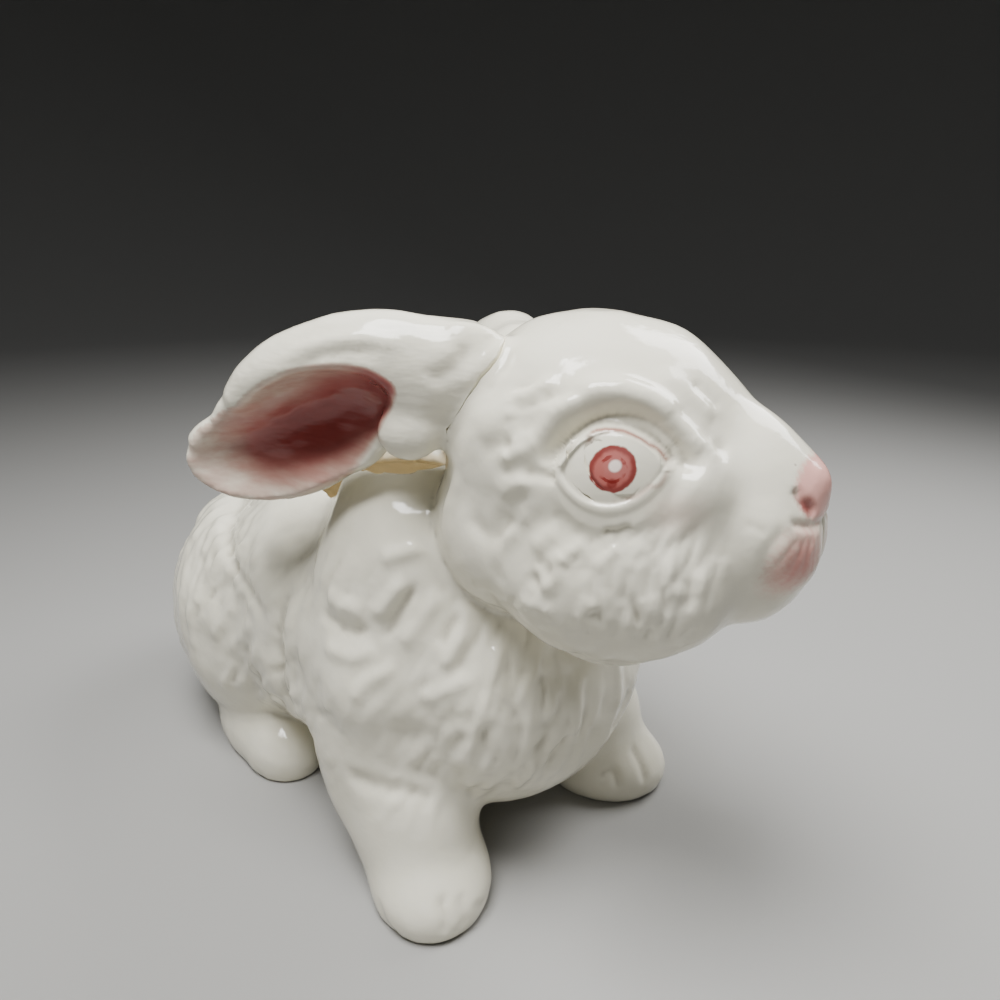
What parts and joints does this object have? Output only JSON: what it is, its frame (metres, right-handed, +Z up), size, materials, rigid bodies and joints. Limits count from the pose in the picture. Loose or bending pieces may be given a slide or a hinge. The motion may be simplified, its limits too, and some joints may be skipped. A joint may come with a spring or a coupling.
{
  "type": "ceramic rabbit planter",
  "caption": "Glossy white crouching rabbit of glazed ceramic, with its head turned, ears laid back and a planting mouth open in its back.",
  "frame": {"origin": "middle of the whole rabbit's footprint, on the surface it stands on", "axes": "-Y the way the chest faces, +X the rabbit's left, +Z up"},
  "size_m": [0.1344, 0.2683, 0.1719],
  "materials": {
    "body_glaze": "glossy ivory-white glaze",
    "head_glaze": "glossy ivory-white glaze, pink nose, lips and irises",
    "ear_glaze": "glossy ivory-white glaze outside, rose inside the cup",
    "limb_glaze": "glossy ivory-white glaze"
  },
  "bodies": {
    "root": {"planter_body": "body_glaze", "head": "head_glaze", "left_ear": "ear_glaze", "right_ear": "ear_glaze", "left_foreleg": "limb_glaze", "right_foreleg": "limb_glaze", "left_hind_foot": "limb_glaze", "right_hind_foot": "limb_glaze", "tail": "limb_glaze"}
  },
  "joints": []
}
